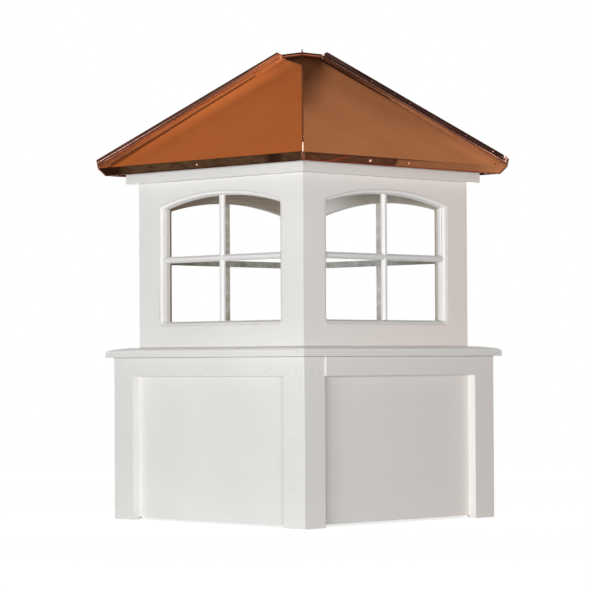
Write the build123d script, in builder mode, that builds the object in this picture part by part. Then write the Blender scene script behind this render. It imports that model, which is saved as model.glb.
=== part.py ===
"""A square barn cupola: panelled base, moulded ledge, four arched windows, frieze and copper hip roof.

Millimetres, +Z up. The floor is z = 0, the axis of the cupola is x = y = 0, and the front faces -Y.
Every side is drawn once as the front side and turned about the axis for the other three.
"""

import os
from math import atan, cos, degrees, radians, sin, sqrt, tan

from build123d import *

# ---- Base: corner posts, top rails and set-back panels ----
base_width = 914.0
base_height = 548.0
post_leg = 95.0
base_trim_thick = 31.0
base_rail_height = 63.0
base_panel_thick = 12.0
base_panel_lift = 9.0
rail_spring = 5.0

# ---- Ledge that carries the window section ----
ledge_overhang = 20.5
ledge_edge_height = 26.5
ledge_slope_rise = 6.5
ledge_round = 12.0
ledge_quirk = 1.5
ledge_flat = 20.0
ledge_inner_lip = 12.0

# ---- Window section: a board and a plywood lining on each side ----
window_width = 790.0
window_height = 558.0
wall_thick = 19.0
lining_thick = 8.0
opening_width = 562.0
opening_sill = 86.0
arch_spring_height = 468.0
arch_rise = 37.0
opening_corner_radius = 6.0
bead_radius = 11.5
bead_quirk = 1.5

# ---- Grille in each window: a cross of bevelled bars on a sheet between board and lining ----
sheet_thick = 10.5
sheet_lip = 1.0
bar_width = 21.5
bar_deep = 14.0
bar_sunk = 2.0
bar_bevel = 6.3

# ---- Frieze boards under the eaves ----
frieze_thick = 32.0

# ---- Copper hip roof ----
roof_pitch = 39.9
eave_overhang = 67.5
frieze_to_eave = 55.0
copper_thick = 1.5
fascia_height = 25.5
fascia_tuck = 18.5
hem_width = 8.0
deck_thick = 12.0
deck_setback = 11.0
deck_joint = 0.2

# ---- Standing seams on the hips ----
seam_web_height = 10.0
seam_web_thick = 3.0
seam_cap_height = 18.0
seam_cap_foot = 6.0
seam_cap_crown = 3.0
seam_overrun = 5.5

# ---- Square cap at the top of the roof ----
cap_width = 97.5
cap_skirt = 13.5
cap_thick = 1.5
seam_back_run = 22.0
seam_back_rise = 10.0

# ---- Fits and edges ----
trim_gap = 0.3
edge_round = 1.5

# ---- Heights and half widths that follow from the sizes above ----
base_half = base_width / 2
window_half = window_width / 2
ledge_half = base_half + ledge_overhang
frieze_half = window_half + frieze_thick
eave_half = frieze_half + eave_overhang
cap_half = cap_width / 2

ledge_bottom = base_height
ledge_top = ledge_bottom + ledge_edge_height + ledge_slope_rise
frieze_bottom = ledge_top + window_height
eave_height = frieze_bottom + frieze_to_eave

sheet_half = window_half - wall_thick
lining_half = sheet_half - sheet_thick
room_half = lining_half - lining_thick
opening_half = opening_width / 2
opening_bottom = ledge_top + opening_sill
spring_height = ledge_top + arch_spring_height
crown_height = spring_height + arch_rise

rise = tan(radians(roof_pitch))
upright = 1 / cos(radians(roof_pitch))
hip_angle = degrees(atan(rise / sqrt(2)))
copper_drop = copper_thick * upright
deck_drop = copper_drop + deck_thick * upright

side_names = ["front", "right", "back", "left"]
rail_springs = [0, rail_spring, 0, 0]
corner_names = ["front_right", "back_right", "back_left", "front_left"]

# The front section plane: local x runs outward from the axis, local y runs up.
front_section = Plane(origin=(0, 0, 0), x_dir=(0, -1, 0), z_dir=(-1, 0, 0))
# The front face plane: local x runs to the right, local y runs up, and its normal points outward.
front_face = Plane(origin=(0, 0, 0), x_dir=(1, 0, 0), z_dir=(0, -1, 0))
# The two upright planes that mitre the front side against its neighbours.
mitre_planes = [Plane(origin=(0, 0, 0), z_dir=(1, 1, 0)), Plane(origin=(0, 0, 0), z_dir=(-1, 1, 0))]


def roof_height(half_width, drop=0.0):
    """Height of the roof plane, less a drop measured straight down, at a distance from the axis."""
    return eave_height - drop + (eave_half - half_width) * rise


def roof_half(height, drop=0.0):
    """Distance of the dropped roof plane from the axis at a height."""
    return eave_half - (height + drop - eave_height) / rise


# The cap's turned-down edge stands on the roof panels by its inner side.
cap_top = roof_height(cap_half - cap_thick) + cap_skirt


def mitred(outline, half_length, joint=0.0):
    """A run along the front, its section a list of (outward, up) points, mitred short of a joint."""
    with BuildPart() as run:
        with BuildSketch(front_section):
            with BuildLine():
                Polyline(*outline, close=True)
            make_face()
        extrude(amount=half_length, both=True)
        for plane in mitre_planes:
            split(bisect_by=plane.offset(-joint / 2), keep=Keep.BOTTOM)
    return run.part


def square_frustum(drop, low, high):
    """The solid under the roof planes, less a drop, between two heights."""
    width = 2 * roof_half(low, drop)
    with BuildPart() as frustum:
        with BuildSketch(Plane.XY.offset(low)):
            Rectangle(width, width)
        extrude(amount=high - low, taper=90 - roof_pitch)
    return frustum.part


def base_post():
    """An L-shaped corner post, front right."""
    inner = base_half - base_trim_thick
    back = base_half - post_leg
    with BuildPart() as post:
        with BuildSketch():
            with BuildLine():
                Polyline(
                    (base_half, -base_half),
                    (base_half, -back),
                    (inner, -back),
                    (inner, -inner),
                    (back, -inner),
                    (back, -base_half),
                    close=True,
                )
            make_face()
        extrude(amount=base_height)
        outer_corner = (base_half, -base_half, base_height / 2)
        fillet(post.edges().sort_by_distance(outer_corner)[0], edge_round)
    return post.part


def base_rail(sprung):
    """The top rail between two corner posts, its left end sprung out of its joint by some distance."""
    end = base_half - post_leg - trim_gap
    back = base_half - base_trim_thick
    with BuildPart() as rail:
        with BuildSketch(Plane.XY.offset(base_height - base_rail_height)):
            with BuildLine():
                Polyline(
                    (-end, -base_half - sprung),
                    (end, -base_half),
                    (end, -back),
                    (-end, -back - sprung),
                    close=True,
                )
            make_face()
        extrude(amount=base_rail_height)
    return rail.part


def base_panel():
    """The flat panel behind the posts and the rail, mitred to its neighbours."""
    outside = base_half - base_trim_thick
    inside = outside - base_panel_thick
    outline = [
        (inside, base_panel_lift),
        (outside, base_panel_lift),
        (outside, base_height),
        (inside, base_height),
    ]
    return mitred(outline, base_half)


def ledge():
    """One board of the ledge: an upright edge, a quarter round, a small step, a slope and a flat."""
    back = room_half - ledge_inner_lip
    shoulder = ledge_bottom + ledge_edge_height
    round_top = shoulder - ledge_quirk
    round_inner = ledge_half - ledge_round
    with BuildPart() as board:
        with BuildSketch(front_section):
            with BuildLine():
                Polyline(
                    (round_inner, round_top),
                    (round_inner, shoulder),
                    (window_half + ledge_flat, ledge_top),
                    (back, ledge_top),
                    (back, ledge_bottom),
                    (ledge_half, ledge_bottom),
                    (ledge_half, round_top - ledge_round),
                )
                RadiusArc((round_inner, round_top), (ledge_half, round_top - ledge_round), ledge_round)
            make_face()
        extrude(amount=ledge_half, both=True)
        for plane in mitre_planes:
            split(bisect_by=plane, keep=Keep.BOTTOM)
    return board.part


def arched_opening(margin):
    """Outline of a window on the front face, with small round corners, grown by a margin."""
    spring_left = (-opening_half, spring_height)
    spring_right = (opening_half, spring_height)
    sill_left = (-opening_half, opening_bottom)
    sill_right = (opening_half, opening_bottom)
    with BuildSketch(mode=Mode.PRIVATE) as outline:
        with BuildLine():
            Polyline(spring_left, sill_left, sill_right, spring_right)
            ThreePointArc(spring_right, (0, crown_height), spring_left)
        make_face()
        fillet(outline.vertices(), opening_corner_radius)
        offset(amount=margin)
    return outline.sketch


def wall_section(inside, outside):
    """Section of an upright board from the ledge to the bevel under the roof deck."""
    return [
        (inside, ledge_top),
        (outside, ledge_top),
        (outside, roof_height(outside, deck_drop)),
        (inside, roof_height(inside, deck_drop)),
    ]


def window_wall():
    """One side of the window section, its arched opening edged with a quarter round between quirks."""
    bead_span = bead_radius + 2 * bead_quirk
    with BuildPart() as wall:
        add(mitred(wall_section(window_half - wall_thick, window_half), window_half))
        for margin, depth in [(0, wall_thick), (bead_quirk, bead_span), (bead_span, bead_quirk)]:
            with BuildSketch(front_face.offset(window_half - depth)):
                add(arched_opening(margin))
            extrude(amount=depth, mode=Mode.SUBTRACT)
        quirk_floor = wall.faces().filter_by(Axis.Y).sort_by(Axis.Y)[1]
        fillet(quirk_floor.inner_wires()[0].edges(), bead_radius)
    return wall.part


def window_lining():
    """The plywood board behind the wall, with the same arched opening."""
    with BuildPart() as lining:
        add(mitred(wall_section(room_half, lining_half), window_half))
        with BuildSketch(front_face.offset(room_half)):
            add(arched_opening(0))
        extrude(amount=lining_thick, mode=Mode.SUBTRACT)
    return lining.part


def grille_sheet():
    """The sheet between the wall and its lining, its opening a lip smaller than theirs."""
    with BuildPart() as sheet:
        add(mitred(wall_section(lining_half, sheet_half), window_half))
        with BuildSketch(front_face.offset(lining_half)):
            add(arched_opening(-sheet_lip))
        extrude(amount=sheet_thick, mode=Mode.SUBTRACT)
    return sheet.part


def bevelled_bar(length):
    """A grille bar lying along X with its back on the XY plane and both front edges bevelled."""
    with BuildPart() as bar:
        Box(length, bar_width, bar_deep, align=(Align.CENTER, Align.CENTER, Align.MIN))
        front_edges = bar.faces().sort_by(Axis.Z)[-1].edges().filter_by(Axis.X)
        chamfer(front_edges, bar_bevel)
    return bar.part


def muntins():
    """The grille of one window: a cross of bars that fills the opening, fused to its sheet."""
    back = sheet_half - bar_sunk
    middle = (opening_bottom + crown_height) / 2
    with BuildPart() as cross:
        add(bevelled_bar(2 * opening_half))
        add(bevelled_bar(2 * (crown_height - middle)), rotation=(0, 0, 90))
    with BuildPart() as grille:
        add(cross.part.rotate(Axis.X, 90).translate((0, -back, middle)))
        with BuildSketch(front_face.offset(back)):
            add(arched_opening(-trim_gap))
        extrude(amount=bar_deep, mode=Mode.INTERSECT)
        add(grille_sheet())
    return grille.part


def frieze():
    """A frieze board, its top bevelled to lie under the roof deck."""
    outline = [
        (window_half, frieze_bottom),
        (frieze_half, frieze_bottom),
        (frieze_half, roof_height(frieze_half, deck_drop)),
        (window_half, roof_height(window_half, deck_drop)),
    ]
    return mitred(outline, frieze_half)


def roof_panel():
    """A copper sheet: the slope, the fascia bent down from it and the hem turned in below."""
    top_half = cap_half - 2 * cap_thick
    fascia_foot = (eave_half - fascia_tuck, eave_height - fascia_height)
    with BuildPart() as sheet:
        with BuildSketch(front_section):
            with BuildLine():
                Polyline(
                    (top_half, roof_height(top_half)),
                    (eave_half, eave_height),
                    fascia_foot,
                    (fascia_foot[0] - hem_width, fascia_foot[1]),
                )
                offset(amount=copper_thick, side=Side.RIGHT, kind=Kind.INTERSECTION)
            make_face()
        extrude(amount=eave_half, both=True)
        for plane in mitre_planes:
            split(bisect_by=plane, keep=Keep.BOTTOM)
    return sheet.part


def deck_board():
    """The front board of the deck under the copper, cut plumb at the eave and level under the cap."""
    top = cap_top - cap_thick
    deck_half = eave_half - deck_setback
    outline = [
        (deck_half, roof_height(deck_half, deck_drop)),
        (deck_half, roof_height(deck_half, copper_drop)),
        (roof_half(top, copper_drop), top),
        (roof_half(top, deck_drop), top),
    ]
    return mitred(outline, eave_half, deck_joint)


def hip_seam():
    """A standing seam on the front right hip: an upright web under a folded cap, its foot cut to a lean."""
    corner = (eave_half, -eave_half, eave_height)
    lean = radians(hip_angle)
    along_hip = (-cos(lean) / sqrt(2), cos(lean) / sqrt(2), sin(lean))
    section = Plane(origin=corner, x_dir=(-1, -1, 0), z_dir=along_hip)
    upright_plane = Plane(origin=(0, 0, 0), x_dir=(1, -1, 0), z_dir=(-1, -1, 0))
    top_reach = cap_half * sqrt(2) + trim_gap
    foot_reach = eave_half * sqrt(2)
    fold_foot = seam_web_height
    fold_crown = seam_web_height + seam_cap_height
    high = cap_top + fold_crown
    high_reach = foot_reach + seam_overrun * (high - eave_height) / fold_crown
    hip_length = eave_half * sqrt(2) / cos(lean)
    with BuildPart() as seam:
        with BuildSketch(section.offset(-2 * seam_overrun)):
            with BuildLine():
                Polyline(
                    (-seam_web_thick / 2, -deck_thick),
                    (seam_web_thick / 2, -deck_thick),
                    (seam_web_thick / 2, fold_foot),
                    (seam_cap_foot / 2, fold_foot),
                    (seam_cap_crown / 2, fold_crown),
                    (-seam_cap_crown / 2, fold_crown),
                    (-seam_cap_foot / 2, fold_foot),
                    (-seam_web_thick / 2, fold_foot),
                    close=True,
                )
            make_face()
        extrude(amount=hip_length)
        with BuildSketch(upright_plane.offset(-seam_cap_foot)):
            with BuildLine():
                Polyline(
                    (top_reach, ledge_top),
                    (foot_reach, ledge_top),
                    (foot_reach, eave_height),
                    (high_reach, high),
                    (top_reach + (high - cap_top) * seam_back_run / seam_back_rise, high),
                    (top_reach, cap_top),
                    close=True,
                )
            make_face()
        extrude(amount=2 * seam_cap_foot, mode=Mode.INTERSECT)
        add(square_frustum(0, ledge_top, cap_top), mode=Mode.SUBTRACT)
    return seam.part


def roof_cap():
    """The square cap: a flat plate with its edge turned down on to the roof panels."""
    with BuildPart() as cap:
        with BuildSketch(Plane.XY.offset(cap_top)):
            Rectangle(cap_width, cap_width)
        extrude(amount=-cap_skirt)
        offset(amount=-cap_thick, openings=cap.faces().sort_by(Axis.Z)[0])
    return cap.part


def export_turned(piece, stem, names):
    """Write a copy of a front piece for each named side or corner, turned about the axis."""
    for turn, name in enumerate(names):
        turned = piece.rotate(Axis.Z, 90 * turn)
        turned.label = f"{stem}_{name}"
        export_step(turned, f"parts/{turned.label}.step")


def export_single(piece, name):
    """Write a piece that is made once."""
    piece.label = name
    export_step(piece, f"parts/{name}.step")


os.makedirs("parts", exist_ok=True)

export_turned(base_post(), "base_post", corner_names)
for turn, sprung in enumerate(rail_springs):
    rail_name = f"base_rail_{side_names[turn]}"
    export_single(base_rail(sprung).rotate(Axis.Z, 90 * turn), rail_name)
export_turned(base_panel(), "base_panel", side_names)
export_turned(ledge(), "ledge", side_names)

export_turned(window_wall(), "window_wall", side_names)
export_turned(window_lining(), "window_lining", side_names)
export_turned(muntins(), "muntins", side_names)
export_turned(frieze(), "frieze", side_names)

front_deck_board = deck_board()
deck_boards = [front_deck_board.rotate(Axis.Z, 90 * turn) for turn in range(4)]
export_single(Compound(children=deck_boards), "roof_deck")
export_turned(roof_panel(), "roof_panel", side_names)
export_turned(hip_seam(), "hip_seam", corner_names)
export_single(roof_cap(), "roof_cap")
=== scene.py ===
"""Looks of the barn cupola: procedural materials, fastenings, copper details, light and camera.

Metres, +Z up, in the frame of the CAD model. The front faces -Y and the right side faces +X. What
repeats on the four sides is made once for the front and turned about the upright axis. The near hips
are the front right and back left ones, and the side hips the other two. What faces front or back is
called frontal, and what faces left or right sideways.
"""

import random
from math import atan, cos, pi, radians, sin, sqrt, tan

import bmesh
import bpy
from mathutils import Matrix, Vector


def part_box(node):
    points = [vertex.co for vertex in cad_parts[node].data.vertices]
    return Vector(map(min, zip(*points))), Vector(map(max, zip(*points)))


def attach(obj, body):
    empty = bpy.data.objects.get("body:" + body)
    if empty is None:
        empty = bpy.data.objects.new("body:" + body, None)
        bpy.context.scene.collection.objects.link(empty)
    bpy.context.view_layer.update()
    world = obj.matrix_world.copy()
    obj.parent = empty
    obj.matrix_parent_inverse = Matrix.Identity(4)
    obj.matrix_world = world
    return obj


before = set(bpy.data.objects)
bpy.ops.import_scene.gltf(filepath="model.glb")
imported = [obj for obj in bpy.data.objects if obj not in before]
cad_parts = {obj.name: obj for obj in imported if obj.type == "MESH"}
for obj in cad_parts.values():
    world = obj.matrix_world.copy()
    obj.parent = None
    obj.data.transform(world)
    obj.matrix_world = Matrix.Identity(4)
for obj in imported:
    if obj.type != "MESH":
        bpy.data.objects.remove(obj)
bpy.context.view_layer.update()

MM = 0.001
post_low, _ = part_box("base_post_front_right")
_, rail_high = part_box("base_rail_front")
ledge_low, ledge_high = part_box("ledge_front")
wall_low, wall_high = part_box("window_wall_front")
lining_low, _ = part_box("window_lining_front")
frieze_low, frieze_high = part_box("frieze_front")
panel_low, panel_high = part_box("roof_panel_front")
_, cap_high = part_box("roof_cap")

# Sizes that the boxes of the frame don't give.
ROOF_PITCH = radians(39.9)
FASCIA_HEIGHT = 25.5 * MM
FASCIA_TUCK = 18.5 * MM
SEAM_WEB_HEIGHT = 10.0 * MM
SEAM_CAP_HEIGHT = 18.0 * MM
SEAM_CAP_FOOT = 6.0 * MM
SEAM_CAP_CROWN = 3.0 * MM
OPENING_HALF = 281.0 * MM
GRILLE_LEVEL = 876.5 * MM
LEVEL_BAR_HALF = 12.0 * MM
WINDOW_REACH = 270.0 * MM
OPENING_SILL = 86.0 * MM
ARCH_SPRING = 468.0 * MM
ARCH_RISE = 37.0 * MM
OPENING_CORNER = 6.0 * MM
BEAD_SPAN = 13.25 * MM
QUIRK_DEPTH = 1.5 * MM

# An apron's width on the panel is a share of the distance from the axis and this start together.
APRON_START = 80.0 * MM
WIDE_APRON = 0.067
NARROW_APRON = 0.0365

# The dark lines of painted shadow along the aprons: (side of the hip, apron, its two ends as shares
# of the eave's distance).
APRON_SHADOW_LINES = ((1, WIDE_APRON, 0.24, 0.97), (-1, NARROW_APRON, 0.18, 0.44))

# The filler lines of painted shade round a window: (out from the opening, into the wall, radius).
BEAD_SHADE_LINES = ((BEAD_SPAN, QUIRK_DEPTH, 0.7 * MM), (0.6 * MM, 13.2 * MM, 0.5 * MM))

# What tells faces and seams apart in the materials, in metres.
LOOKS_INWARD = -0.32
SEAM_SIDE = 0.05

FASCIA_FOOT = panel_low.z
EAVE_HEIGHT = FASCIA_FOOT + FASCIA_HEIGHT
EAVE_HALF = panel_high.x
CAP_TOP = cap_high.z
SEAM_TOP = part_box("hip_seam_back_right")[0].x
RAIL_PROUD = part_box("base_rail_right")[1].x + post_low.y
RISE = tan(ROOF_PITCH)
HIP_LEAN = atan(RISE / sqrt(2))


# -------------------- node tree helpers


class Tree:
    """A short way to write a material's or a world's nodes."""

    def __init__(self, owner, output):
        owner.use_nodes = True
        self.tree = owner.node_tree
        self.tree.nodes.clear()
        self.output = self.add(output)

    def add(self, kind, inputs=None, **settings):
        """Adds a node; each input is a number, a colour, or an output socket to link from."""
        node = self.tree.nodes.new(kind)
        for name, value in settings.items():
            setattr(node, name, value)
        for key, value in (inputs or {}).items():
            socket = node.inputs[key]
            if isinstance(value, bpy.types.NodeSocket):
                self.tree.links.new(value, socket)
            else:
                socket.default_value = value
        return node

    def show(self, shader):
        """Links a shader to the output."""
        self.tree.links.new(shader.outputs[0], self.output.inputs["Surface"])

    def surface(self, inputs):
        """Shows a principled shader with these inputs."""
        self.show(self.add("ShaderNodeBsdfPrincipled", inputs))

    def position(self, scale):
        """Object coordinates, scaled by a number for each axis."""
        place = self.add("ShaderNodeTexCoord").outputs["Object"]
        inputs = {"Vector": place, "Scale": scale}
        return self.add("ShaderNodeMapping", inputs).outputs["Vector"]

    def place(self):
        """The X, Y and Z of a point, in metres."""
        place = self.add("ShaderNodeTexCoord").outputs["Object"]
        return self.add("ShaderNodeSeparateXYZ", {0: place}).outputs

    def facing_way(self):
        """The X, Y and Z of a face's own normal."""
        normal = self.add("ShaderNodeNewGeometry").outputs["True Normal"]
        return self.add("ShaderNodeSeparateXYZ", {0: normal}).outputs

    def noise(self, scale, stretch=(1, 1, 1), detail=3.0, roughness=0.5, vector=None):
        """Noise from 0 to 1, over the object's own coordinates unless a vector is given."""
        place = self.position(stretch) if vector is None else vector
        inputs = {"Vector": place, "Scale": scale, "Detail": detail, "Roughness": roughness}
        return self.add("ShaderNodeTexNoise", inputs).outputs["Fac"]

    def combine(self, first, second, third=0.0):
        """A vector of three values."""
        return self.add("ShaderNodeCombineXYZ", {0: first, 1: second, 2: third}).outputs[0]

    def remap(self, value, low, high, to_low, to_high):
        """A value moved from one range to another and held inside it."""
        names = ("Value", "From Min", "From Max", "To Min", "To Max")
        inputs = dict(zip(names, (value, low, high, to_low, to_high)))
        return self.add("ShaderNodeMapRange", inputs, clamp=True).outputs["Result"]

    def rise(self, value, start, end, top=1.0):
        """0 up to the start of a range, and the top from its end on."""
        return self.remap(value, start, end, 0.0, top)

    def fall(self, value, start, end, top=1.0):
        """The top up to the start of a range, and 0 from its end on."""
        return self.remap(value, start, end, top, 0.0)

    def mix(self, share, first, second):
        """Two colours mixed by a share."""
        inputs = {0: share, 6: first, 7: second}
        return self.add("ShaderNodeMix", inputs, data_type="RGBA").outputs[2]

    def math(self, operation, first, second=0.0, clamp=False):
        """Arithmetic on two values."""
        node = self.add("ShaderNodeMath", {0: first, 1: second}, operation=operation, use_clamp=clamp)
        return node.outputs[0]

    def plus(self, first, second):
        """The sum of two values."""
        return self.math("ADD", first, second)

    def minus(self, first, second):
        """The first value less the second."""
        return self.math("SUBTRACT", first, second)

    def times(self, product, *factors):
        """The product of two or more values."""
        for factor in factors:
            product = self.math("MULTIPLY", product, factor)
        return product

    def absolute(self, value):
        """A value without its sign."""
        return self.math("ABSOLUTE", value)

    def above(self, first, second):
        """1 where the first value is the greater, 0 elsewhere."""
        return self.math("GREATER_THAN", first, second)

    def below(self, first, second):
        """1 where the first value is the lesser, 0 elsewhere."""
        return self.math("LESS_THAN", first, second)

    def larger(self, first, second):
        """The larger of two values."""
        return self.math("MAXIMUM", first, second)

    def off_near_hips(self, place):
        """|X + Y|: 0 at the front right and back left hips, largest at the other two."""
        return self.absolute(self.plus(place["X"], place["Y"]))

    def off_side_hips(self, place):
        """|X - Y|: 0 at the front left and back right hips, largest at the other two."""
        return self.absolute(self.minus(place["X"], place["Y"]))

    def bump(self, height, strength, distance, normal=None):
        """A bumped normal from a height, in metres of distance."""
        inputs = {"Height": height, "Strength": strength, "Distance": distance}
        if normal is not None:
            inputs["Normal"] = normal
        return self.add("ShaderNodeBump", inputs).outputs["Normal"]

    def peel(self, scale):
        """The normal of moulded vinyl: fine orange peel of a scale, and softened edges."""
        edges = self.add("ShaderNodeBevel", {"Radius": 0.9 * MM}, samples=4).outputs["Normal"]
        return self.bump(self.noise(scale, detail=2.0), 0.25, 0.1 * MM, edges)


def colour(red, green, blue):
    """A display colour, 0 to 255, as the linear colour that a shader takes."""
    channels = [value / 255 for value in (red, green, blue)]
    linear = [c / 12.92 if c <= 0.04045 else ((c + 0.055) / 1.055) ** 2.4 for c in channels]
    return (*linear, 1.0)


def new_material(name):
    """An empty material and its tree."""
    material = bpy.data.materials.new(name)
    return material, Tree(material, "ShaderNodeOutputMaterial")


# -------------------- materials


def white_vinyl():
    """Satin white cellular vinyl board: faint cloudiness, fine orange peel and softened edges.

    It is painted warmer on faces that look sideways, and more so away from the near hips: painted warm
    light. The ledge's upward faces and the steep and downward parts of the windows' beads are painted
    whiter: painted light.
    """
    material, tree = new_material("white_vinyl_board")
    place = tree.place()
    facing_way = tree.facing_way()
    clouds = tree.noise(3.0, detail=2.0)
    tint = tree.mix(tree.rise(clouds, 0.3, 0.7), colour(233, 232, 229), colour(227, 226, 224))

    # Painted warm light: the flat faces that look sideways are warmer, more so away from the near hips
    # and higher up.
    beyond = tree.minus(tree.absolute(place["X"]), tree.absolute(place["Y"]))
    sideways = tree.above(beyond, 0.0)
    flat = tree.rise(tree.absolute(facing_way["X"]), 0.95, 0.99)
    warm_light_share = tree.remap(tree.off_near_hips(place), 0.0, 0.65, 0.25, 1.0)
    climb = tree.rise(place["Z"], ledge_low.z, wall_low.z)
    painted_warm_tone = tree.mix(climb, colour(232, 226, 222), colour(243, 233, 227))
    tint = tree.mix(tree.times(sideways, flat, warm_light_share), tint, painted_warm_tone)

    # Painted light: the ledge's upward faces are painted whiter.
    level = tree.minus(place["Z"], 0.5 * (ledge_low.z + ledge_high.z))
    on_ledge = tree.below(tree.absolute(level), 0.5 * (ledge_high.z - ledge_low.z) + 1 * MM)
    upward = tree.rise(facing_way["Z"], 0.15, 0.6)
    tint = tree.mix(tree.times(on_ledge, upward), tint, colour(253, 251, 248))

    # Painted light: the steep and downward faces of the windows' beads are painted whiter.
    outward = tree.mix(sideways, facing_way["Y"], facing_way["X"])
    steep = tree.fall(tree.absolute(outward), 0.15, 0.4)
    bead = tree.larger(steep, tree.fall(facing_way["Z"], -0.6, -0.15))
    in_window = tree.below(tree.absolute(tree.minus(place["Z"], GRILLE_LEVEL)), WINDOW_REACH)
    tint = tree.mix(tree.times(in_window, bead), tint, colour(254, 252, 249))

    specks = tree.noise(130.0, detail=2.0)
    dust = tree.rise(specks, 0.66, 0.8, 0.12)
    tint = tree.mix(dust, tint, colour(196, 190, 180))
    gloss = tree.remap(tree.noise(14.0), 0.3, 0.7, 0.40, 0.52)
    tree.surface({"Base Color": tint, "Roughness": gloss, "Normal": tree.peel(700.0), "IOR": 1.45})
    return material


def grille_board():
    """The grille's vinyl board, its back stained in blotches as it weathered, and painted darker as
    shade.

    The backs are painted darker on the sideways walls, and those of the level bars darker and greener,
    and brown towards the side hips: painted shade.
    """
    material, tree = new_material("grille_board")
    place = tree.place()
    facing_way = tree.facing_way()
    out_x = tree.times(place["X"], facing_way["X"])
    out_y = tree.times(place["Y"], facing_way["Y"])
    back = tree.below(tree.plus(out_x, out_y), LOOKS_INWARD)
    blotches = tree.noise(22.0, (1.0, 1.0, 1.6), detail=5.0, roughness=0.65)
    stain = tree.rise(blotches, 0.36, 0.66)
    # Painted shade: the backs on the sideways walls are darker than on the frontal ones.
    frontal = tree.above(tree.absolute(out_y), tree.absolute(out_x))
    clean = tree.mix(frontal, colour(218, 212, 204), colour(240, 238, 232))
    grimy = tree.mix(frontal, colour(176, 168, 154), colour(212, 208, 200))
    stained_and_shaded_back = tree.mix(stain, clean, grimy)
    # Painted shade: the level bars' backs are darker and greener, and browner towards the side hips.
    level_bar = tree.below(tree.absolute(tree.minus(place["Z"], GRILLE_LEVEL)), LEVEL_BAR_HALF)
    level_clean = tree.mix(frontal, colour(200, 198, 186), colour(208, 214, 208))
    level_grimy = tree.mix(frontal, colour(146, 142, 128), colour(160, 164, 156))
    stained_and_shaded_back = tree.mix(level_bar, stained_and_shaded_back, tree.mix(stain, level_clean, level_grimy))
    painted_brown_shade = tree.times(level_bar, tree.rise(tree.off_near_hips(place), 0.38, 0.62, 0.7))
    stained_and_shaded_back = tree.mix(painted_brown_shade, stained_and_shaded_back, colour(128, 108, 84))
    tint = tree.mix(back, colour(230, 229, 227), stained_and_shaded_back)
    gloss = tree.remap(stain, 0.0, 1.0, 0.45, 0.52)
    tree.surface({"Base Color": tint, "Roughness": gloss, "Normal": tree.peel(500.0)})
    return material


def plywood():
    """Bare exterior plywood: long grain streaks and a few darker bands.

    Inside, the frontal walls are painted greyer in patches and paler towards the near hips, and the
    sideways ones browner away from them: painted light and shade. The reveals of the openings are
    painted as far as the outer layers; on the sideways walls they are painted darker as shade, and
    their soffits paler towards the near hips and browner away from them: painted light and shade.
    """
    material, tree = new_material("plywood_face")
    grain = tree.noise(9.0, (1.0, 1.0, 22.0), detail=6.0, roughness=0.62)
    bands = tree.noise(2.2, (0.6, 0.6, 5.0), detail=2.0)
    tint = tree.mix(tree.rise(grain, 0.32, 0.68), colour(176, 161, 142), colour(212, 202, 187))
    tint = tree.mix(tree.rise(bands, 0.45, 0.7, 0.5), tint, colour(160, 140, 116))
    place = tree.place()
    facing_way = tree.facing_way()
    depths = [tree.absolute(place[axis]) for axis in ("X", "Y")]
    frontal = tree.above(depths[1], depths[0])
    # Painted light: the frontal walls are paler and greyer in patches, where light comes in through the
    # windows.
    painted_light_patches = tree.remap(tree.noise(14.0, detail=4.0, roughness=0.6), 0.35, 0.6, 0.2, 0.8)
    tint = tree.mix(tree.times(frontal, painted_light_patches), tint, colour(206, 204, 198))
    # Painted light and shade: frontal walls paler towards the near hips, sideways ones browner away
    # from them.
    near_hips = tree.off_near_hips(place)
    paler = tree.times(frontal, tree.fall(near_hips, 0.16, 0.30))
    tint = tree.mix(paler, tint, colour(250, 247, 244))
    browner = tree.times(tree.minus(1.0, frontal), tree.remap(near_hips, 0.4, 0.62, 0.1, 0.75))
    tint = tree.mix(browner, tint, colour(138, 106, 82))

    squareness = tree.mix(frontal, tree.absolute(facing_way["X"]), tree.absolute(facing_way["Y"]))
    reveal = tree.below(squareness, 0.5)
    depth = tree.minus(-lining_low.y, tree.larger(depths[0], depths[1]))
    middle_layer = tree.rise(depth, 8 * MM, 11 * MM)
    edge = tree.mix(middle_layer, colour(234, 231, 226), colour(206, 200, 194))
    inner_layer = tree.rise(depth, 17 * MM, 19 * MM)
    edge = tree.mix(inner_layer, edge, colour(114, 102, 94))
    # Painted shade: the reveals of the sideways walls are darker.
    edge = tree.mix(frontal, tree.mix(0.75, edge, colour(190, 178, 166)), edge)
    # Painted light and shade on the soffits: paler towards the near hips, browner away from them.
    soffit = tree.below(facing_way["Z"], -0.5)
    pale = tree.times(soffit, tree.fall(near_hips, 0.1, 0.3, 0.6))
    edge = tree.mix(pale, edge, colour(240, 236, 230))
    brown = tree.times(soffit, tree.rise(near_hips, 0.35, 0.6, 0.5))
    edge = tree.mix(brown, edge, colour(104, 78, 58))
    under_roof = tree.below(place["Z"], wall_high.z)
    tint = tree.mix(tree.times(reveal, under_roof), tint, edge)
    gloss = tree.remap(grain, 0.3, 0.7, 0.6, 0.8)
    tree.surface({"Base Color": tint, "Roughness": gloss, "Normal": tree.bump(grain, 0.5, 0.4 * MM)})
    return material


def copper_surface(tree, tint, roughness, grain):
    """The metal that all the copper shares: a tint, a roughness and a grain that bumps it."""
    tree.surface({
        "Base Color": tint,
        "Metallic": 1.0,
        "Roughness": roughness,
        "Normal": tree.bump(grain, 0.2, 0.2 * MM),
        "Specular Tint": colour(228, 200, 188),
    })


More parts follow.
